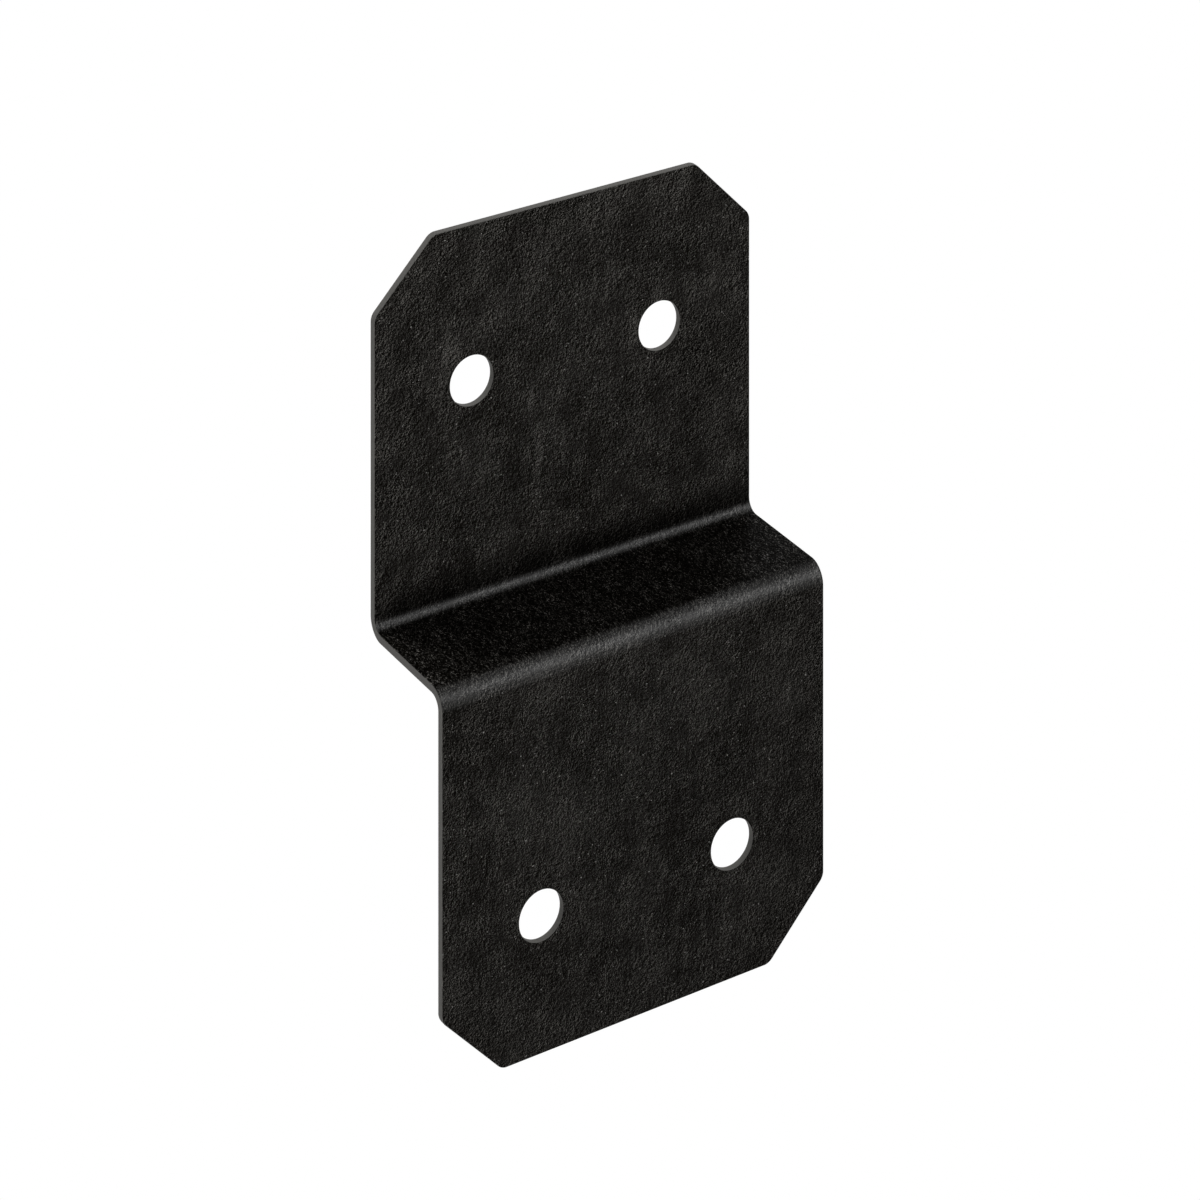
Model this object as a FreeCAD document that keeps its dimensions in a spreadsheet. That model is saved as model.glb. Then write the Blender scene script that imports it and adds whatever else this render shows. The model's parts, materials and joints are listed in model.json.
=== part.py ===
# Deck joist tie: one steel sheet, clipped at its corners, punched with four holes and folded into a step.
# The upper plate lies on a post, the step passes over a joist's top edge, and the lower plate laps its face.
# Frame, in millimetres: X runs across the plates, Y points from the front into the timber and Z points up.
# The origin is on the back of the upper plate, midway between its two holes.
import FreeCAD, Part
import math
import os
import Sketcher

SIZES = {
    "plate_width": 127.0,
    "sheet_thickness": 2.25,
    "upper_plate_height": 106.5,  # from the step's top face up to the top edge
    "lower_plate_height": 106.5,  # from the step's underside down to the bottom edge
    "step_offset": 38.2,  # between the backs of the two plates: a dressed joist and a hair of play
    "bend_radius": 3.5,  # on the inside of both folds
    "corner_clip": 19.05,
    "corner_radius": 3.5,  # where a clipped corner meets the straight edges
    "hole_diameter": 14.3,
    "hole_spacing": 63.5,
    "upper_hole_edge": 44.45,  # from the top edge down to the upper holes
    "lower_hole_edge": 38.1,  # from the bottom edge up to the lower holes
    "edge_break": 0.25,  # fine chamfer that takes the burr off every cut edge
}
NODE = "tie_plate"

# Points of sketch geometry, and a sketch's own axes
START, END, CENTRE = range(1, 4)
UPRIGHT_AXIS, FLAT_AXIS = range(-2, 0)

QUARTER_TURN = math.pi / 2
SHARP_ANGLE = 0.1  # radians between two faces, above which the edge that they share is a corner
TOLERANCE = 1e-6

doc = FreeCAD.newDocument("deck_joist_tie")


def make_sheet():
    """The spreadsheet that holds each driving dimension under its own alias."""
    table = doc.addObject("Spreadsheet::Sheet", "sizes")
    for row, (alias, value) in enumerate(SIZES.items(), start=1):
        table.set(f"A{row}", alias)
        table.set(f"B{row}", str(value))
        table.setAlias(f"B{row}", alias)
    doc.recompute()
    return table


def new_sketch(body, name, role):
    """An empty sketch on one of the body's own origin planes."""
    sketch = body.newObject("Sketcher::SketchObject", name)
    plane = next(feature for feature in body.Origin.OriginFeatures if feature.Role == role)
    sketch.AttachmentSupport = [(plane, "")]
    sketch.MapMode = "FlatFace"
    return sketch


def add_line(sketch, start, end):
    """A straight stretch of a sketch."""
    return sketch.addGeometry(Part.LineSegment(FreeCAD.Vector(*start), FreeCAD.Vector(*end)))


def add_quarter_arc(sketch, centre, radius, first_angle):
    """A quarter circle of a sketch, counter-clockwise from first_angle."""
    circle = Part.Circle(FreeCAD.Vector(*centre), FreeCAD.Vector(0, 0, 1), radius)
    return sketch.addGeometry(Part.ArcOfCircle(circle, first_angle, first_angle + QUARTER_TURN))


def bind(sketch, name, expression, *constraint):
    """A dimension of a sketch, tied to the spreadsheet by an expression."""
    value = sketch.evalExpression(expression)
    index = sketch.addConstraint(Sketcher.Constraint(*constraint, value))
    sketch.renameConstraint(index, name)
    sketch.setExpression(f"Constraints.{name}", expression)


def draw_section(body):
    """The folded section: two upright plates and the step between them, with concentric arcs at each fold."""
    sketch = new_sketch(body, "folded_section", "YZ_Plane")
    thickness, radius = sizes.sheet_thickness, sizes.bend_radius
    outer = radius + thickness
    top = sizes.upper_hole_edge
    step = top - sizes.upper_plate_height
    bottom = step - thickness - sizes.lower_plate_height
    back = -sizes.step_offset
    upper_fold = (-outer, step + radius)
    lower_fold = (back + radius, step - outer)

    upper_back = add_line(sketch, (0, top), (0, upper_fold[1]))
    upper_outer = add_quarter_arc(sketch, upper_fold, outer, 3 * QUARTER_TURN)
    underside = add_line(sketch, (upper_fold[0], step - thickness), (lower_fold[0], step - thickness))
    lower_inner = add_quarter_arc(sketch, lower_fold, radius, QUARTER_TURN)
    lower_back = add_line(sketch, (back, lower_fold[1]), (back, bottom))
    bottom_edge = add_line(sketch, (back, bottom), (back - thickness, bottom))
    lower_front = add_line(sketch, (back - thickness, bottom), (back - thickness, lower_fold[1]))
    lower_outer = add_quarter_arc(sketch, lower_fold, outer, QUARTER_TURN)
    step_top = add_line(sketch, (lower_fold[0], step), (upper_fold[0], step))
    upper_inner = add_quarter_arc(sketch, upper_fold, radius, 3 * QUARTER_TURN)
    upper_front = add_line(sketch, (-thickness, upper_fold[1]), (-thickness, top))
    top_edge = add_line(sketch, (-thickness, top), (0, top))

    # Down the back of the sheet, round the bottom edge and up the front
    joins = [
        ("Tangent", upper_back, END, upper_outer, END),
        ("Tangent", upper_outer, START, underside, START),
        ("Tangent", underside, END, lower_inner, START),
        ("Tangent", lower_inner, END, lower_back, START),
        ("Coincident", lower_back, END, bottom_edge, START),
        ("Coincident", bottom_edge, END, lower_front, START),
        ("Tangent", lower_front, END, lower_outer, END),
        ("Tangent", lower_outer, START, step_top, START),
        ("Tangent", step_top, END, upper_inner, START),
        ("Tangent", upper_inner, END, upper_front, START),
        ("Coincident", upper_front, END, top_edge, START),
        ("Coincident", top_edge, END, upper_back, START),
        ("Coincident", upper_inner, CENTRE, upper_outer, CENTRE),
        ("Coincident", lower_inner, CENTRE, lower_outer, CENTRE),
    ]
    upright = [("Vertical", line) for line in (upper_back, lower_back, lower_front, upper_front)]
    level = [("Horizontal", line) for line in (underside, bottom_edge, step_top, top_edge)]
    sketch.addConstraint([Sketcher.Constraint(*rule) for rule in joins + upright + level])

    sketch.addConstraint(Sketcher.Constraint("PointOnObject", upper_back, START, UPRIGHT_AXIS))
    bind(sketch, "top", "sizes.upper_hole_edge", "DistanceY", FLAT_AXIS, START, upper_back, START)
    bind(sketch, "thickness", "sizes.sheet_thickness", "DistanceX", upper_front, END, upper_back, START)
    bind(sketch, "upper_height", "sizes.upper_plate_height", "DistanceY", step_top, END, top_edge, START)
    bind(sketch, "lower_height", "sizes.lower_plate_height", "DistanceY", bottom_edge, END, underside, START)
    bind(sketch, "offset", "sizes.step_offset", "DistanceX", lower_back, START, upper_back, START)
    bind(sketch, "upper_bend", "sizes.bend_radius", "Radius", upper_inner)
    bind(sketch, "lower_bend", "sizes.bend_radius", "Radius", lower_inner)
    return sketch


def draw_holes(body):
    """The four holes, a pair in each plate, all of one diameter."""
    sketch = new_sketch(body, "hole_layout", "XZ_Plane")
    half_spacing, radius = sizes.hole_spacing / 2, sizes.hole_diameter / 2
    below_upper_holes = sizes.upper_plate_height - sizes.upper_hole_edge + sizes.sheet_thickness
    lower_level = sizes.lower_hole_edge - sizes.lower_plate_height - below_upper_holes
    circles = []
    for level in (0, lower_level):
        for across in (-half_spacing, half_spacing):
            circle = Part.Circle(FreeCAD.Vector(across, level), FreeCAD.Vector(0, 0, 1), radius)
            circles.append(sketch.addGeometry(circle))
    upper_left, upper_right, lower_left, lower_right = circles

    for left, right in ((upper_left, upper_right), (lower_left, lower_right)):
        sketch.addConstraint(Sketcher.Constraint("Symmetric", left, CENTRE, right, CENTRE, UPRIGHT_AXIS))
    for circle in circles[1:]:
        sketch.addConstraint(Sketcher.Constraint("Equal", upper_left, circle))
    sketch.addConstraint(Sketcher.Constraint("PointOnObject", upper_left, CENTRE, FLAT_AXIS))
    bind(sketch, "diameter", "sizes.hole_diameter", "Diameter", upper_left)
    bind(sketch, "upper_spacing", "sizes.hole_spacing", "DistanceX", upper_left, CENTRE, upper_right, CENTRE)
    bind(sketch, "lower_spacing", "sizes.hole_spacing", "DistanceX", lower_left, CENTRE, lower_right, CENTRE)
    rise = "sizes.upper_plate_height + sizes.sheet_thickness + sizes.lower_plate_height"
    rise += " - sizes.upper_hole_edge - sizes.lower_hole_edge"
    bind(sketch, "rise", rise, "DistanceY", lower_left, CENTRE, upper_left, CENTRE)
    return sketch


def edge_names(shape, wanted):
    """The names of a shape's edges that pass a test."""
    return [f"Edge{number}" for number, edge in enumerate(shape.Edges, start=1) if wanted(edge)]


def is_outline_corner(edge):
    """True for a corner of a plate's outline: a straight edge through the sheet, above or below the step."""
    if not isinstance(edge.Curve, Part.Line) or abs(edge.Curve.Direction.y) < 1 - TOLERANCE:
        return False
    step_top = sizes.upper_hole_edge - sizes.upper_plate_height
    return not step_top - sizes.sheet_thickness - TOLERANCE < edge.CenterOfMass.z < step_top + TOLERANCE


def is_sharp(shape, edge):
    """True where the two faces that share an edge meet at an angle."""
    faces = shape.ancestorsOfType(edge, Part.Face)
    if len(faces) < 2:
        return False
    middle = edge.valueAt((edge.FirstParameter + edge.LastParameter) / 2)
    first, second = (face.normalAt(*face.Surface.parameter(middle)) for face in faces)
    return first.getAngle(second) > SHARP_ANGLE


def chamfer_edges(body, name, base, wanted, alias):
    """A chamfer on the edges of the body's last feature that pass a test, of the size under an alias."""
    chamfer = body.newObject("PartDesign::Chamfer", name)
    chamfer.Base = (base, edge_names(base.Shape, wanted))
    chamfer.setExpression("Size", f"sizes.{alias}")
    doc.recompute()
    return chamfer


def fillet_edges(body, name, base, wanted, alias):
    """A fillet on the edges of the body's last feature that pass a test, of the radius under an alias."""
    fillet = body.newObject("PartDesign::Fillet", name)
    fillet.Base = (base, edge_names(base.Shape, wanted))
    fillet.setExpression("Radius", f"sizes.{alias}")
    doc.recompute()
    return fillet


def punch_holes(body, base):
    """The holes, cut through both plates from the plane of the upper plate's back."""
    layout = draw_holes(body)
    pocket = body.newObject("PartDesign::Pocket", "punched_holes")
    pocket.Profile = layout
    pocket.Type = "ThroughAll"
    pocket.Reversed = True
    doc.recompute()
    hole_area = math.pi * (sizes.hole_diameter / 2) ** 2
    slugs = layout.GeometryCount * hole_area * sizes.sheet_thickness
    if abs(base.Shape.Volume - pocket.Shape.Volume - slugs) > TOLERANCE * slugs:
        raise RuntimeError("the holes do not go through both plates")
    return pocket


def make_tie_plate():
    """The whole tie, as one body."""
    body = doc.addObject("PartDesign::Body", NODE)
    folded = body.newObject("PartDesign::Pad", "folded_sheet")
    folded.Profile = draw_section(body)
    folded.SideType = "Symmetric"
    folded.setExpression("Length", "sizes.plate_width")
    doc.recompute()
    clipped = chamfer_edges(body, "clipped_corners", folded, is_outline_corner, "corner_clip")
    rounded = fillet_edges(body, "rounded_corners", clipped, is_outline_corner, "corner_radius")
    punched = punch_holes(body, rounded)
    chamfer_edges(body, "broken_edges", punched, lambda edge: is_sharp(punched.Shape, edge), "edge_break")
    return body


def check_document(body):
    """Stops before anything is written if a feature failed or the solid is not whole."""
    for item in doc.Objects:
        if {"Invalid", "Error"} & set(item.State):
            raise RuntimeError(f"{item.Name} failed: {item.State}")
    for sketch in doc.findObjects("Sketcher::SketchObject"):
        if not sketch.FullyConstrained:
            raise RuntimeError(f"{sketch.Name} is not fully constrained")
    shape = body.Shape
    if shape.isNull() or not shape.isValid() or len(shape.Solids) != 1:
        raise RuntimeError(f"{body.Label} is not one valid solid")


sizes = make_sheet()
tie_plate = make_tie_plate()
check_document(tie_plate)
os.makedirs("parts", exist_ok=True)
tie_plate.Shape.exportStep(f"parts/{tie_plate.Label}.step")
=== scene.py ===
"""Looks of a deck joist tie: the folded plate with its powder coat, over a plain studio floor."""
import json
import math
from typing import NamedTuple

import bmesh
import bpy
from bpy.props import FloatProperty, FloatVectorProperty, IntProperty, PointerProperty
from mathutils import Matrix, Vector


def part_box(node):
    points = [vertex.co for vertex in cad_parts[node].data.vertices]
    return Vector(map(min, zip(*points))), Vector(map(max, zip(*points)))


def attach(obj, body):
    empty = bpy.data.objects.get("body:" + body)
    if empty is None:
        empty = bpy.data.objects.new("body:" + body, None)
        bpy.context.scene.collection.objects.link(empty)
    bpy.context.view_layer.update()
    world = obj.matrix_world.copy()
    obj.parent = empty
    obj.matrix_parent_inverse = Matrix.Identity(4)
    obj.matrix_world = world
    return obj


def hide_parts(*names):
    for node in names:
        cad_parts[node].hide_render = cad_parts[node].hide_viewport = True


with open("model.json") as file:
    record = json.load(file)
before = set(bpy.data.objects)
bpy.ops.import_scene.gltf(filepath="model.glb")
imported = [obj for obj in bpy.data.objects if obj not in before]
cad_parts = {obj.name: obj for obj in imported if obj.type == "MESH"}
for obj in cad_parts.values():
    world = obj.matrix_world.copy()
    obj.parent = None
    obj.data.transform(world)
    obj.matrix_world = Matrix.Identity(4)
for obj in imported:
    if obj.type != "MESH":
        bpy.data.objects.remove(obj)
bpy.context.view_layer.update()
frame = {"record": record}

bl_info = {
    "name": "Deck joist tie",
    "version": (1, 0, 0),
    "blender": (4, 5, 0),
    "location": "3D View > Sidebar > Joist Tie",
    "description": "Models a folded and powder-coated deck joist tie and the studio it is shown in",
    "category": "Add Mesh",
}

NODE = "tie_plate"
BODY = "root"
MILLIMETRE = 0.001
EDGE_TOLERANCE = 1e-6

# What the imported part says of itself, in metres
LOW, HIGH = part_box(NODE)
MOUNTS = {mount["name"]: mount for mount in frame["record"]["mounts"]}
UPPER_HOLES = Vector(MOUNTS["post_screws"]["pos_m"])
LOWER_HOLES = Vector(MOUNTS["joist_screws"]["pos_m"])
HOLE_DIMS = MOUNTS["post_screws"]["dims"]
STEP_UNDERSIDE = MOUNTS["joist_top_seat"]["pos_m"][2]
SHEET_THICKNESS = LOWER_HOLES.y - LOW.y

# The photograph's frame and lens in its pixels, and where its camera stood
PHOTO_SIZE = 1200
PHOTO_FOCAL_LENGTH = 4204.3
PHOTO_HORIZON_ROW = -1629.4
PHOTO_HEADING = math.radians(-32.010)
PHOTO_PLACE = Vector((-0.6350, -1.0360, 0.5720))
SENSOR_WIDTH = 36.0

# Turns of the sheet at a fold and of its outline at each end of a clip
FOLD_TURN = math.pi / 2
CLIP_TURN = math.pi / 4

# Half the square patch round a hole, in parts of the hole's radius
HOLE_PATCH = 1.5

# Material slot of the cut faces. All other faces have the first slot, which is the coat's
CUT_EDGE_SLOT = 1

# Vertex layers: one marks the gloss along the folds, the other is 1 on the step and 0 on the plates
FOLD_LAYER = "fold"
STEP_LAYER = "step"

# Round each fold the step layer goes from 0 to 1 with this power of the way
STEP_FADE = 2

# Sockets of a Mix node that blends colours
MIX_FACTOR = 0
MIX_FIRST = 6
MIX_SECOND = 7
MIX_RESULT = 2

# Middle of a noise's values and of the grains' shades, which go from 0 to 1
MIDDLE = 0.5

# How strong each finer part of a noise is beside the part before it, where nothing else is said
NOISE_ROUGHNESS = 0.55

# The coat's grain is drawn out across the step, and its grooves are drawn out upright
GRAIN_DRAW = (1.0, 0.7, 1.0)
GROOVE_DRAW = (1.0, 1.0, 0.5)

# The coat's wrinkles halve in width this often, each time as strong as before, and besides their bump their
# colour is painted as if lit from this side: paler where they face it, darker where they face away
WRINKLE_DETAIL = 3.0
WRINKLE_ROUGHNESS = 1.0
PAINTED_LIT_SIDE = (0.82, 0, -0.57)

# Grooves lie in fields this many of their beds wide, which begin and are full at these levels of a noise
GROOVE_FIELD = 2.0
GROOVE_FIELD_RANGE = (0.5, 0.65)

# How often the noises of the grooves, the patches and the cut edges' streaks halve in width
GROOVE_DETAIL = 1.0
PATCH_DETAIL = 1.0
STREAK_DETAIL = 3.0

# Levels of the streaks' noise that are darkest and palest
STREAK_RANGE = (0.3, 0.7)

# Dark pits are wide and pale grains narrow, because the coat's shade goes with this power of its tone
PIT_POWER = 3.0

# Grains above this shade are flecks
FLECK_START = 0.9965


class FoldGloss(NamedTuple):
    """Gloss across a fold: at a lean of 1 it is highest halfway, and over 1 it is highest further down."""

    lean: float
    narrowness: float


class FoldLine(NamedTuple):
    """A line across the blank: its height, the turn of the sheet there, and its two layers' values."""

    level: float
    turn: float
    gloss: float
    step: float


class Softbox(NamedTuple):
    """A square lamp: its place and what it faces, from the middle of the tie, and its side and spread."""

    place: Vector
    target: Vector
    size: float
    spread: float


UPPER_GLOSS = FoldGloss(1.0, 4.0)
LOWER_GLOSS = FoldGloss(1.25, 1.5)

# The front lamp's narrow beam is aimed over the tie and to its left, and its rim falls on the plates
TIE_MIDDLE = Vector((0, 0, 0))
WIDE_SPREAD = math.pi
FRONT_LAMP = Softbox(Vector((-0.20, -1.45, -0.32)), Vector((-0.22, 0, 0.55)), 0.4, math.radians(62))
FOLD_LAMP = Softbox(Vector((0.81, -1.01, 0.94)), TIE_MIDDLE, 0.9, WIDE_SPREAD)
BACK_LAMP = Softbox(Vector((-0.25, 1.08, 1.27)), TIE_MIDDLE, 1.2, WIDE_SPREAD)
SIDE_LAMP = Softbox(Vector((-1.20, 0.05, -0.05)), TIE_MIDDLE, 0.25, WIDE_SPREAD)


def length(name, description, default):
    """A length that a user may change."""
    return FloatProperty(name=name, description=description, default=default, min=0.0, unit="LENGTH",
                         subtype="DISTANCE", precision=5)


def count(name, description, default):
    """A number of facets that a user may change."""
    return IntProperty(name=name, description=description, default=default, min=1)


def share(name, description, default):
    """A value from nothing to all that a user may change."""
    return FloatProperty(name=name, description=description, default=default, min=0.0, max=1.0,
                         subtype="FACTOR")


def strength(name, description, default):
    """A value with no upper end that a user may change."""
    return FloatProperty(name=name, description=description, default=default, min=0.0)


def colour(name, description, default):
    """A colour that a user may change."""
    return FloatVectorProperty(name=name, description=description, default=default, size=4, min=0.0,
                               max=1.0, subtype="COLOR")


def power(name, description, default):
    """A lamp's power that a user may change."""
    return FloatProperty(name=name, description=description, default=default, min=0.0, unit="POWER")


class TiePlateSizes(bpy.types.PropertyGroup):
    """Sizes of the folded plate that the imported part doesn't state."""

    bend_radius: length("Bend radius", "Inside radius of both folds", 3.5 * MILLIMETRE)
    corner_clip: length("Corner clip", "Length cut off each side of an outer corner", 19.05 * MILLIMETRE)
    corner_radius: length("Corner radius", "Rounding where a clip meets a straight edge", 3.5 * MILLIMETRE)
    edge_round: length("Edge rounding", "Rounding of the cut edges under the coat", 0.25 * MILLIMETRE)
    bend_segments: count("Bend segments", "Flat strips in each fold", 16)
    hole_segments: count("Hole segments", "Sides of each hole, a multiple of four", 96)
    corner_segments: count("Corner segments", "Sides of a corner's rounding", 8)
    edge_segments: count("Edge segments", "Facets across a rounded edge", 3)


class TieFinish(bpy.types.PropertyGroup):
    """Colours and grain of the powder coat and of the cut edges."""

    coat_pit: colour("Coat pits", "Colour between the coat's grains", (0.0006, 0.0004, 0.0001, 1.0))
    coat_grain: colour("Coat grains", "Colour of the coat's pale grains", (0.0412, 0.0393, 0.0357, 1.0))
    coat_fleck: colour("Coat flecks", "Colour of the coat's few flecks", (0.2400, 0.2360, 0.2280, 1.0))
    coat_tone: share("Coat tone", "Middle shade of the coat, from 0 in pits to 1 on grains", 0.52)
    coat_roughness: share("Coat roughness", "Least roughness of the coat", 0.40)
    coat_gloss: share("Coat gloss", "Specular level of the coat", 0.004)
    grain_size: length("Grain size", "Width of a grain of the coat", 0.25 * MILLIMETRE)
    grain_shade: strength("Grain shade", "How much the grains differ in shade", 0.85)
    grain_softness: share("Grain softness", "How soon the plates' palest grains level off", 0.35)
    grain_roughness: share("Grain roughness", "How much the grains differ in roughness", 0.12)
    grain_gloss: share("Grain gloss", "Clear gloss on top of the grains", 0.10)
    # Partly painted glints: on the step the grain is made stronger, standing for glints of grazing light on
    # the dark step
    step_grain_and_painted_glints: strength("Step grain", "How much sandier the coat is on the step than on the plates", 0.8)
    # Painted shade: on the step the coat's grains, and their gloss, are darkened by this share
    step_painted_shade: share("Step shade", "How much darker the coat's grains are on the step", 0.75)
    step_evenness: share("Step evenness", "How much fainter patches and clouds are on the step", 0.6)
    wrinkle_size: length("Wrinkle size", "Width of the coat's widest wrinkles", 1.35 * MILLIMETRE)
    wrinkle_height: length("Wrinkle height", "Height of the coat's wrinkles", 0.40 * MILLIMETRE)
    # Painted light and shade: a wrinkle or groove is painted paler on its side towards the painted lit side
    # and darker on the other, by this much
    painted_relief_shade: strength("Wrinkle shade", "How much paler a wrinkle is on its lit side", 5.8)
    groove_size: length("Groove size", "Width of the bed round a groove of the coat", 9 * MILLIMETRE)
    groove_depth: strength("Groove depth", "Depth of a groove, in parts of a wrinkle's height", 1.2)
    patch_size: length("Patch size", "Width of the coat's rougher and smoother patches", 7 * MILLIMETRE)
    cloud_size: length("Cloud size", "Width of the coat's faint clouds", 16 * MILLIMETRE)
    cloud_shade: share("Cloud shade", "How much the clouds differ in shade", 0.40)
    fold_gloss: share("Fold gloss", "Clear gloss of the coat that the folding has smoothed", 0.45)
    fold_sparkle: share("Fold sparkle", "How much that gloss grows with the coat's tone", 0.50)
    gloss_roughness: share("Gloss roughness", "Roughness of the clear gloss", 0.35)
    edge_colour: colour("Cut edge", "Colour of the thin coat on the cut edges", (0.110, 0.107, 0.101, 1.0))
    edge_roughness: share("Cut edge roughness", "Least roughness of the cut edges", 0.45)
    edge_gloss: share("Cut edge gloss", "Specular level of the cut edges", 0.03)
    streak_size: length("Streak size", "Width of the cut edges' streaks", 0.5 * MILLIMETRE)
    streak_shade: share("Streak shade", "How much the streaks differ from the cut edges' colour", 0.15)
    streak_roughness: share("Streak roughness", "How much the streaks differ in roughness", 0.08)


class TieStudio(bpy.types.PropertyGroup):
    """Floor and lamps round the tie."""

    floor_drop: length("Floor drop", "Height of the tie's lower edge over the floor", 500 * MILLIMETRE)
    floor_size: length("Floor size", "Side of the square floor", 8.0)
    floor_colour: colour("Floor", "Colour of the floor", (0.60, 0.60, 0.60, 1.0))
    shadow_start: length("Shadow start", "How far from the tie its shadow starts to fade", 200 * MILLIMETRE)
    shadow_end: length("Shadow end", "How far from the tie its shadow has faded", 600 * MILLIMETRE)
    shadow_depth: share("Shadow depth", "How much of the floor near the tie is light and shadow", 0.3)
    front_power: power("Front lamp", "Power of the lamp in front that lights the plates", 4.4)
    fold_power: power("Fold lamp", "Power of the lamp over the right that lights the folds", 4.2)
    back_power: power("Back lamp", "Power of the lamp behind that lights the upper cut edges", 30.0)
    side_power: power("Side lamp", "Power of the lamp on the left that lights the left cut edges", 3.6)
    ambient: share("Ambient light", "Strength of the light from all round", 0.15)


class Shade:
    """A socket in a node tree. An expression on shades adds its Math nodes to that tree."""

    def __init__(self, tree, socket=None):
        self.tree = tree
        self.socket = socket

    def add(self, kind, settings=(), inputs=(), output=0):
        """Adds a node of a kind, sets it up, feeds its inputs and gives one of its outputs."""
        node = self.tree.nodes.new(kind)
        for name, value in dict(settings).items():
            setattr(node, name, value)
        for key, value in dict(inputs).items():
            if isinstance(value, Shade):
                self.tree.links.new(value.socket, node.inputs[key])
            else:
                node.inputs[key].default_value = value
        return Shade(self.tree, node.outputs[output] if node.outputs else None)

    def math(self, operation, *values):
        """Adds a Math node."""
        return self.add("ShaderNodeMath", {"operation": operation}, enumerate(values))

    def __add__(self, other):
        return self.math("ADD", self, other)

    def __sub__(self, other):
        return self.math("SUBTRACT", self, other)

    def __rsub__(self, other):
        return self.math("SUBTRACT", other, self)

    def __mul__(self, other):
        return self.math("MULTIPLY", self, other)

    def __truediv__(self, other):
        return self.math("DIVIDE", self, other)

    def __rtruediv__(self, other):
        return self.math("DIVIDE", other, self)

    def __pow__(self, other):
        return self.math("POWER", self, other)

    def __rpow__(self, other):
        return self.math("POWER", other, self)

    __radd__ = __add__
    __rmul__ = __mul__

    def vector(self, operation, *values):
        """Adds a Vector Math node that gives a vector."""
        return self.add("ShaderNodeVectorMath", {"operation": operation}, enumerate(values))

    def between(self, low, high):
        """Stretches this value so that low gives 0 and high gives 1, and holds it there."""
        return self.add("ShaderNodeMapRange", {"clamp": True},
                        {"Value": self, "From Min": low, "From Max": high})

    def noise(self, place, size, detail=0.0, roughness=NOISE_ROUGHNESS):
        """Cloudy noise with features of a size, and finer ones on top."""
        return self.add("ShaderNodeTexNoise", {"noise_dimensions": "3D"},
                        {"Vector": place, "Scale": 1 / size, "Detail": detail, "Roughness": roughness})

    def layer(self, name):
        """Values of one of the mesh's vertex layers."""
        return self.add("ShaderNodeAttribute", {"attribute_name": name}, output="Fac")

    def output(self, name):
        """Another output of the node that this shade comes from."""
        return Shade(self.tree, self.socket.node.outputs[name])

    def blend(self, factor, first, second):
        """Goes from a first colour to a second by a factor, and on past it where the factor is over 1."""
        return self.add("ShaderNodeMix", {"data_type": "RGBA", "clamp_factor": False},
                        {MIX_FACTOR: factor, MIX_FIRST: first, MIX_SECOND: second}, MIX_RESULT)


def new_material(name):
    """A material with an empty node tree, and the tree's first shade."""
    material = bpy.data.materials.new(name)
    material.use_nodes = True
    material.node_tree.nodes.clear()
    return material, Shade(material.node_tree)


def coat_material(finish):
    """Fine-textured powder coat.

    Grains, wrinkles and short grooves lie in rougher and smoother patches under faint clouds, with a few
    flecks, and the wrinkles and grooves also carry painted light and shade. The folds are glossier. The
    step is evener than the plates, darker by painted shade, and sandier, partly as painted glints.
    """
    material, shade = new_material("powder_coat")
    spot = shade.add("ShaderNodeTexCoord", output="Object")
    place = shade.vector("MULTIPLY", spot, GRAIN_DRAW)
    fold = shade.layer(FOLD_LAYER)
    step = shade.layer(STEP_LAYER)
    grain = coat_grains(shade, place, finish)
    # Painted light and shade: the relief minus the relief a grain further towards the painted lit side,
    # painted into the coat's colour below
    beside = shade.vector("ADD", place, [finish.grain_size * part for part in PAINTED_LIT_SIDE])
    relief = coat_relief(shade, place, finish)
    lit = relief - coat_relief(shade, beside, finish)
    uneven = 1 - finish.step_evenness * step
    cloud = uneven * (shade.noise(spot, finish.cloud_size) - MIDDLE)
    patch = 1 + uneven * (2 * shade.noise(place, finish.patch_size, PATCH_DETAIL) - 1)
    sand_and_painted_emboss = patch * (finish.painted_relief_shade * lit + finish.grain_shade * (grain - MIDDLE))
    tone = finish.coat_tone + sand_and_painted_emboss + finish.cloud_shade * cloud
    # Painted shade and glints: on the step the grain is made stronger and its shade darker
    heap = shade.math("MAXIMUM", tone + finish.step_grain_and_painted_glints * step * sand_and_painted_emboss, 0.0) ** PIT_POWER
    peak = heap * (1 - finish.step_painted_shade * step) / (1 + finish.grain_softness * (1 - step) * heap)
    sand_and_painted_shade = shade.blend(peak, finish.coat_pit[:], finish.coat_grain[:])
    tint = shade.blend(grain.between(FLECK_START, 1.0), sand_and_painted_shade, finish.coat_fleck[:])
    bump = shade.add("ShaderNodeBump", {}, {
        "Strength": 1.0,
        "Distance": 1.0,
        "Height": finish.wrinkle_height * relief,
    })
    surface = shade.add("ShaderNodeBsdfPrincipled", {}, {
        "Base Color": tint,
        "Roughness": finish.coat_roughness + finish.grain_roughness * grain,
        "Specular IOR Level": finish.coat_gloss,
        "Coat Weight": finish.grain_gloss * peak + fold * (finish.fold_gloss + finish.fold_sparkle * tone),
        "Coat Roughness": finish.gloss_roughness,
        "Normal": bump,
    })
    shade.add("ShaderNodeOutputMaterial", {}, {"Surface": surface})
    return material


def coat_grains(shade, place, finish):
    """Shade of the grain at a place. Each grain is a ragged cell of one shade, from 0 to 1."""
    swirl = shade.noise(place, finish.grain_size).output("Color")
    stirred = shade.vector("MULTIPLY_ADD", swirl, [finish.grain_size] * 3, place)
    cells = shade.add("ShaderNodeTexVoronoi", {}, {"Vector": stirred, "Scale": 1 / finish.grain_size})
    return shade.add("ShaderNodeSeparateColor", {}, {"Color": cells.output("Color")})


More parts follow.
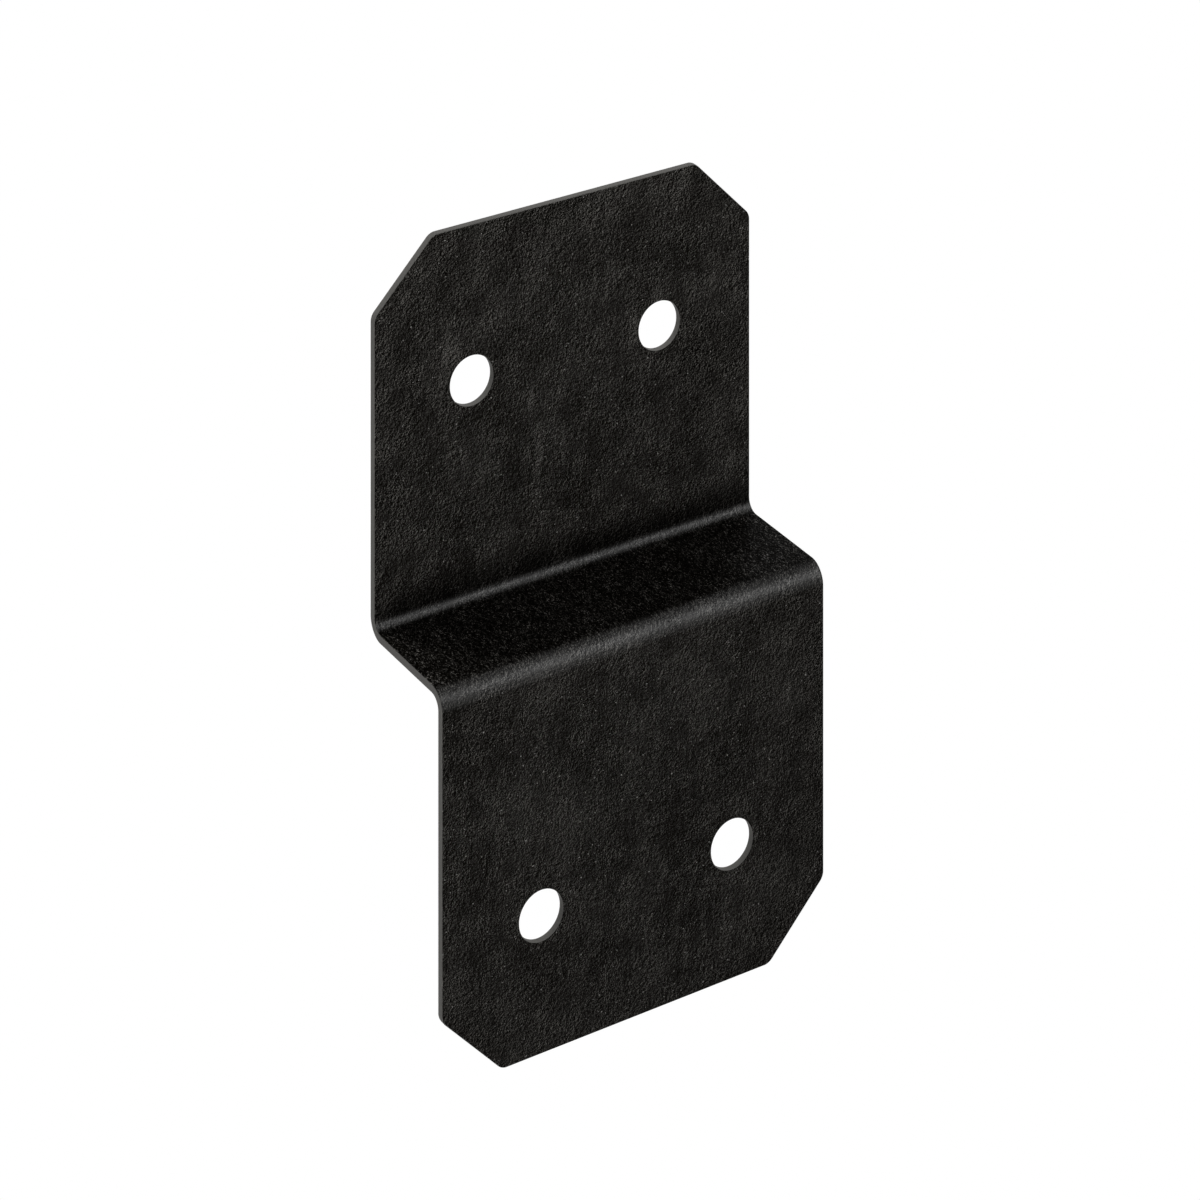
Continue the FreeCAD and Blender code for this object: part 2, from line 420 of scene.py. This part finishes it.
def coat_relief(shade, place, finish):
    """Height of the coat, in parts of a wrinkle's height: wrinkles, and fields of short upright grooves."""
    wrinkles = shade.noise(place, finish.wrinkle_size, WRINKLE_DETAIL, WRINKLE_ROUGHNESS)
    upright = shade.vector("MULTIPLY", place, GROOVE_DRAW)
    groove = shade.math("ABSOLUTE", shade.noise(upright, finish.groove_size, GROOVE_DETAIL) - MIDDLE)
    field = shade.noise(place, GROOVE_FIELD * finish.groove_size).between(*GROOVE_FIELD_RANGE)
    return wrinkles + finish.groove_depth * groove * field


def cut_edge_material(finish):
    """Smooth thin coat on the sheared edges and in the holes."""
    material, shade = new_material("cut_edge")
    place = shade.add("ShaderNodeTexCoord", output="Object")
    streak = shade.noise(place, finish.streak_size, STREAK_DETAIL).between(*STREAK_RANGE)
    dark = [(1 - finish.streak_shade) * channel for channel in finish.edge_colour[:3]] + [1.0]
    pale = [(1 + finish.streak_shade) * channel for channel in finish.edge_colour[:3]] + [1.0]
    surface = shade.add("ShaderNodeBsdfPrincipled", {}, {
        "Base Color": shade.blend(streak, dark, pale),
        "Roughness": finish.edge_roughness + finish.streak_roughness * streak,
        "Specular IOR Level": finish.edge_gloss,
    })
    shade.add("ShaderNodeOutputMaterial", {}, {"Surface": surface})
    return material


class TIE_OT_plate(bpy.types.Operator):
    """Cuts the blank, punches its holes, folds it into a step and coats it"""

    bl_idname = "joist_tie.plate"
    bl_label = "Make folded plate"

    def execute(self, context):
        sizes = context.scene.tie_plate_sizes
        finish = context.scene.tie_finish
        bm = bmesh.new()
        cut_blank(bm, sizes)
        punch_holes(bm, sizes)
        fold_blank(bm, sizes)
        thicken_sheet(bm)
        round_edges(bm, sizes)
        mesh = bpy.data.meshes.new("folded_plate")
        bm.to_mesh(mesh)
        bm.free()
        plate = bpy.data.objects.new("folded_plate", mesh)
        context.scene.collection.objects.link(plate)
        mesh.shade_smooth()
        mesh.materials.append(coat_material(finish))
        mesh.materials.append(cut_edge_material(finish))
        plate.modifiers.new("flat faces stay flat", "WEIGHTED_NORMAL")
        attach(plate, BODY)
        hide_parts(NODE)
        return {"FINISHED"}


def fold_levels(sizes):
    """The four heights on the flat blank where its two folds start and end, from the top down.

    The blank is the back skin of the sheet, flat in the plane of the upper plate's back. The upper fold
    goes round the outside of its bend and the lower fold round the inside.
    """
    half_strip = FOLD_TURN / 2 / sizes.bend_segments
    run_by_radius = 2 * sizes.bend_segments * math.sin(half_strip)
    step_run = UPPER_HOLES.y - LOWER_HOLES.y - 2 * sizes.bend_radius - SHEET_THICKNESS
    upper_start = STEP_UNDERSIDE + SHEET_THICKNESS + sizes.bend_radius
    upper_end = upper_start - run_by_radius * (sizes.bend_radius + SHEET_THICKNESS)
    lower_start = upper_end - step_run
    lower_end = lower_start - run_by_radius * sizes.bend_radius
    return upper_start, upper_end, lower_start, lower_end


def lower_shift(sizes):
    """How much lower the flat blank's lower plate lies than the folded one."""
    return STEP_UNDERSIDE - sizes.bend_radius - fold_levels(sizes)[-1]


def cut_blank(bm, sizes):
    """The flat blank: a rectangle with clipped and rounded corners."""
    top, bottom = HIGH.z, LOW.z - lower_shift(sizes)
    corners = [(LOW.x, top), (LOW.x, bottom), (HIGH.x, bottom), (HIGH.x, top)]
    bm.faces.new([bm.verts.new((x, UPPER_HOLES.y, z)) for x, z in corners])
    bevel_corners(bm, sizes.corner_clip, 1)
    bevel_corners(bm, sizes.corner_radius * math.tan(CLIP_TURN / 2), sizes.corner_segments)


def bevel_corners(bm, reach, segments):
    """Clips or rounds every corner of the flat blank."""
    bmesh.ops.bevel(bm, geom=bm.verts[:], offset=reach, offset_type="OFFSET", affect="VERTICES",
                    segments=segments, profile=0.5, material=-1)


def slice_blank(bm, point, normal):
    """Draws a straight line across the flat blank."""
    bmesh.ops.bisect_plane(bm, geom=bm.verts[:] + bm.edges[:] + bm.faces[:], dist=EDGE_TOLERANCE,
                           plane_co=point, plane_no=normal)


def punch_holes(bm, sizes):
    """A round hole inside a square patch of its own, for each of the four holes."""
    half_spacing = HOLE_DIMS["spacing_x_mm"] * MILLIMETRE / 2
    radius = HOLE_DIMS["hole_r_mm"] * MILLIMETRE
    half_patch = HOLE_PATCH * radius
    columns = (-half_spacing, half_spacing)
    rows = (UPPER_HOLES.z, LOWER_HOLES.z - lower_shift(sizes))
    for middle in columns:
        for side in (-half_patch, half_patch):
            slice_blank(bm, (middle + side, 0, 0), (1, 0, 0))
    for middle in rows:
        for side in (-half_patch, half_patch):
            slice_blank(bm, (0, 0, middle + side), (0, 0, 1))
    for x in columns:
        for z in rows:
            punch_hole(bm, Vector((x, UPPER_HOLES.y, z)), radius, sizes.hole_segments)


def punch_hole(bm, centre, radius, segments):
    """Insets a square patch, draws the inset's corners on to the hole's circle and takes the slug out."""
    slug = min(bm.faces, key=lambda face: (face.calc_center_median() - centre).length)
    bmesh.ops.bisect_edges(bm, edges=slug.edges[:], cuts=segments // 4 - 1)
    bmesh.ops.inset_region(bm, faces=[slug], thickness=radius / segments, use_even_offset=True)
    for vert in slug.verts:
        vert.co = centre + radius * (vert.co - centre).normalized()
    bmesh.ops.delete(bm, geom=[slug], context="FACES_ONLY")


def fold_lines(sizes):
    """The lines of both folds, from the top down. A fold's first and last line turn half as far."""
    upper_start, upper_end, lower_start, lower_end = fold_levels(sizes)
    folds = (
        (upper_start, upper_end, -FOLD_TURN, UPPER_GLOSS),
        (lower_start, lower_end, FOLD_TURN, LOWER_GLOSS),
    )
    strips = sizes.bend_segments
    lines = []
    for start, end, fold_turn, shine in folds:
        for strip in range(strips + 1):
            part = strip / strips
            turn = fold_turn / strips
            if strip in (0, strips):
                turn /= 2
            gloss = math.sin(math.pi * part ** shine.lean) ** shine.narrowness
            step = (part if fold_turn < 0 else 1 - part) ** STEP_FADE
            lines.append(FoldLine(start + (end - start) * part, turn, gloss, step))
    return lines


def fold_blank(bm, sizes):
    """Bends the blank at each line of its two folds, from the bottom up, as a press brake would."""
    lines = fold_lines(sizes)
    for line in lines:
        slice_blank(bm, (0, 0, line.level), (0, 0, 1))
    gloss_layer = bm.verts.layers.float.new(FOLD_LAYER)
    step_layer = bm.verts.layers.float.new(STEP_LAYER)
    for line in lines:
        for vert in bm.verts:
            if abs(vert.co.z - line.level) < EDGE_TOLERANCE:
                vert[gloss_layer] = line.gloss
                vert[step_layer] = line.step
    for line in reversed(lines):
        below = [vert for vert in bm.verts if vert.co.z < line.level - EDGE_TOLERANCE]
        bmesh.ops.rotate(bm, verts=below, cent=(0, UPPER_HOLES.y, line.level),
                         matrix=Matrix.Rotation(line.turn, 3, "X"))


def thicken_sheet(bm):
    """Gives the folded skin its thickness, towards the front, and marks the cut faces."""
    rim_edges = [edge for edge in bm.edges if edge.is_boundary]
    skin = set(bm.faces)
    bmesh.ops.solidify(bm, geom=bm.faces[:], thickness=-SHEET_THICKNESS)
    for edge in rim_edges:
        for face in edge.link_faces:
            if face not in skin:
                face.material_index = CUT_EDGE_SLOT
    bmesh.ops.recalc_face_normals(bm, faces=bm.faces[:])


def round_edges(bm, sizes):
    """Rounds the two edges of every cut face."""
    sharp = [edge for edge in bm.edges if len({face.material_index for face in edge.link_faces}) > 1]
    bmesh.ops.bevel(bm, geom=sharp, offset=sizes.edge_round, offset_type="OFFSET", affect="EDGES",
                    segments=sizes.edge_segments, profile=0.5, material=-1)


class TIE_OT_stage(bpy.types.Operator):
    """Lays the floor, hangs the lamps and sets the camera where the photograph was taken from"""

    bl_idname = "joist_tie.stage"
    bl_label = "Make studio"

    def execute(self, context):
        studio = context.scene.tie_studio
        context.scene.view_settings.view_transform = "Standard"
        lay_floor(context.scene, studio)
        hang_lamp(context.scene, "front_lamp", FRONT_LAMP, studio.front_power)
        hang_lamp(context.scene, "fold_lamp", FOLD_LAMP, studio.fold_power)
        back_lamp = hang_lamp(context.scene, "back_lamp", BACK_LAMP, studio.back_power)
        back_lamp.visible_glossy = False
        hang_lamp(context.scene, "side_lamp", SIDE_LAMP, studio.side_power)
        light_world(context.scene, studio)
        place_camera(context.scene)
        return {"FINISHED"}


def seen_ray(shade):
    """One for rays that show a surface: straight to the camera, mirrored or through glass."""
    rays = [shade.add("ShaderNodeLightPath", output=name)
            for name in ("Is Camera Ray", "Is Glossy Ray", "Is Transmission Ray")]
    return shade.math("MINIMUM", rays[0] + rays[1] + rays[2], 1.0)


def lay_floor(scene, studio):
    """A pale square floor that shows white and keeps a soft shadow."""
    bm = bmesh.new()
    bmesh.ops.create_grid(bm, x_segments=1, y_segments=1, size=studio.floor_size / 2)
    bmesh.ops.translate(bm, verts=bm.verts[:], vec=(0, 0, LOW.z - studio.floor_drop))
    mesh = bpy.data.meshes.new("floor")
    bm.to_mesh(mesh)
    bm.free()
    floor = bpy.data.objects.new("floor", mesh)
    scene.collection.objects.link(floor)
    mesh.materials.append(floor_material(studio))


def floor_material(studio):
    """White to look at, with some light and shadow near the tie, and matt grey to light that bounces."""
    material, shade = new_material("studio_floor")
    matt = shade.add("ShaderNodeBsdfDiffuse", {}, {"Color": studio.floor_colour[:]})
    glow = shade.add("ShaderNodeEmission", {}, {"Strength": 1.0})
    place = shade.add("ShaderNodeTexCoord", output="Object")
    along = shade.vector("MULTIPLY", place, (1, 1, 0))
    way = shade.add("ShaderNodeVectorMath", {"operation": "LENGTH"}, {0: along}, "Value")
    near = 1 - way.between(studio.shadow_start, studio.shadow_end)
    white = seen_ray(shade) * (1 - studio.shadow_depth * near)
    surface = shade.add("ShaderNodeMixShader", {}, {0: white, 1: matt, 2: glow})
    shade.add("ShaderNodeOutputMaterial", {}, {"Surface": surface})
    return material


def hang_lamp(scene, name, softbox, watts):
    """Hangs a softbox that the camera doesn't see."""
    lamp_data = bpy.data.lights.new(name, "AREA")
    lamp_data.size = softbox.size
    lamp_data.spread = softbox.spread
    lamp_data.energy = watts
    lamp = bpy.data.objects.new(name, lamp_data)
    scene.collection.objects.link(lamp)
    lamp.visible_camera = False
    lamp.location = (LOW + HIGH) / 2 + softbox.place
    lamp.rotation_euler = (softbox.place - softbox.target).to_track_quat("Z", "Y").to_euler()
    return lamp


def light_world(scene, studio):
    """White to look at, and a gentle light from all round."""
    scene.world = bpy.data.worlds.new("studio")
    scene.world.use_nodes = True
    scene.world.node_tree.nodes.clear()
    shade = Shade(scene.world.node_tree)
    brightness = studio.ambient + (1 - studio.ambient) * seen_ray(shade)
    sky = shade.add("ShaderNodeBackground", {}, {"Color": (1, 1, 1, 1), "Strength": brightness})
    shade.add("ShaderNodeOutputWorld", {}, {"Surface": sky})


def place_camera(scene):
    """A camera that looks down at the tie and still draws its uprights upright, as the photograph does.

    The photograph is the lower part of a level camera's picture. Here the camera is pitched at the tie
    instead, and a rig leans its upward axis back to the vertical. That gives the same picture with no
    lens shift.
    """
    middle_row = PHOTO_SIZE / 2
    drop = (middle_row - PHOTO_HORIZON_ROW) / PHOTO_FOCAL_LENGTH
    right = Vector((math.cos(PHOTO_HEADING), math.sin(PHOTO_HEADING), 0))
    back = -Vector((-math.sin(PHOTO_HEADING), math.cos(PHOTO_HEADING), -drop)).normalized()
    pitched = camera_matrix(right, back.cross(right), back)
    leaned = camera_matrix(right, Vector((0, 0, 1)), back)
    camera_data = bpy.data.cameras.new("photo_camera")
    camera_data.sensor_width = SENSOR_WIDTH
    camera_data.lens = SENSOR_WIDTH * PHOTO_FOCAL_LENGTH * math.hypot(1, drop) / PHOTO_SIZE
    camera = bpy.data.objects.new("photo_camera", camera_data)
    rig = bpy.data.objects.new("upright_rig", None)
    scene.collection.objects.link(camera)
    scene.collection.objects.link(rig)
    camera.parent = rig
    camera.matrix_basis = pitched
    camera.matrix_parent_inverse = leaned @ pitched.inverted()
    scene.camera = camera


def camera_matrix(right, up, back):
    """A camera's axes and place as one matrix."""
    matrix = Matrix((right, up, back)).transposed().to_4x4()
    matrix.translation = PHOTO_PLACE
    return matrix


class TIE_PT_panel(bpy.types.Panel):
    """Lists the tie's sizes, finish and studio, and the buttons that make them"""

    bl_idname = "TIE_PT_panel"
    bl_label = "Deck joist tie"
    bl_space_type = "VIEW_3D"
    bl_region_type = "UI"
    bl_category = "Joist Tie"

    def draw(self, context):
        groups = (
            ("Plate", context.scene.tie_plate_sizes),
            ("Finish", context.scene.tie_finish),
            ("Studio", context.scene.tie_studio),
        )
        for title, group in groups:
            box = self.layout.box()
            box.label(text=title)
            for name in group.__annotations__:
                box.prop(group, name)
        for operator in (TIE_OT_plate, TIE_OT_stage):
            self.layout.operator(operator.bl_idname)


CLASSES = (TiePlateSizes, TieFinish, TieStudio, TIE_OT_plate, TIE_OT_stage, TIE_PT_panel)
SETTINGS = {"tie_plate_sizes": TiePlateSizes, "tie_finish": TieFinish, "tie_studio": TieStudio}


def register():
    """Makes the settings, operators and panel known to Blender."""
    for item in CLASSES:
        bpy.utils.register_class(item)
    for name, group in SETTINGS.items():
        setattr(bpy.types.Scene, name, PointerProperty(type=group))


def unregister():
    """Takes them away again, in the opposite order."""
    for name in SETTINGS:
        delattr(bpy.types.Scene, name)
    for item in reversed(CLASSES):
        bpy.utils.unregister_class(item)


def main():
    """Makes the plate and the studio from scratch and keeps their sizes."""
    register()
    bpy.ops.joist_tie.plate()
    bpy.ops.joist_tie.stage()


if __name__ == "__main__":
    main()
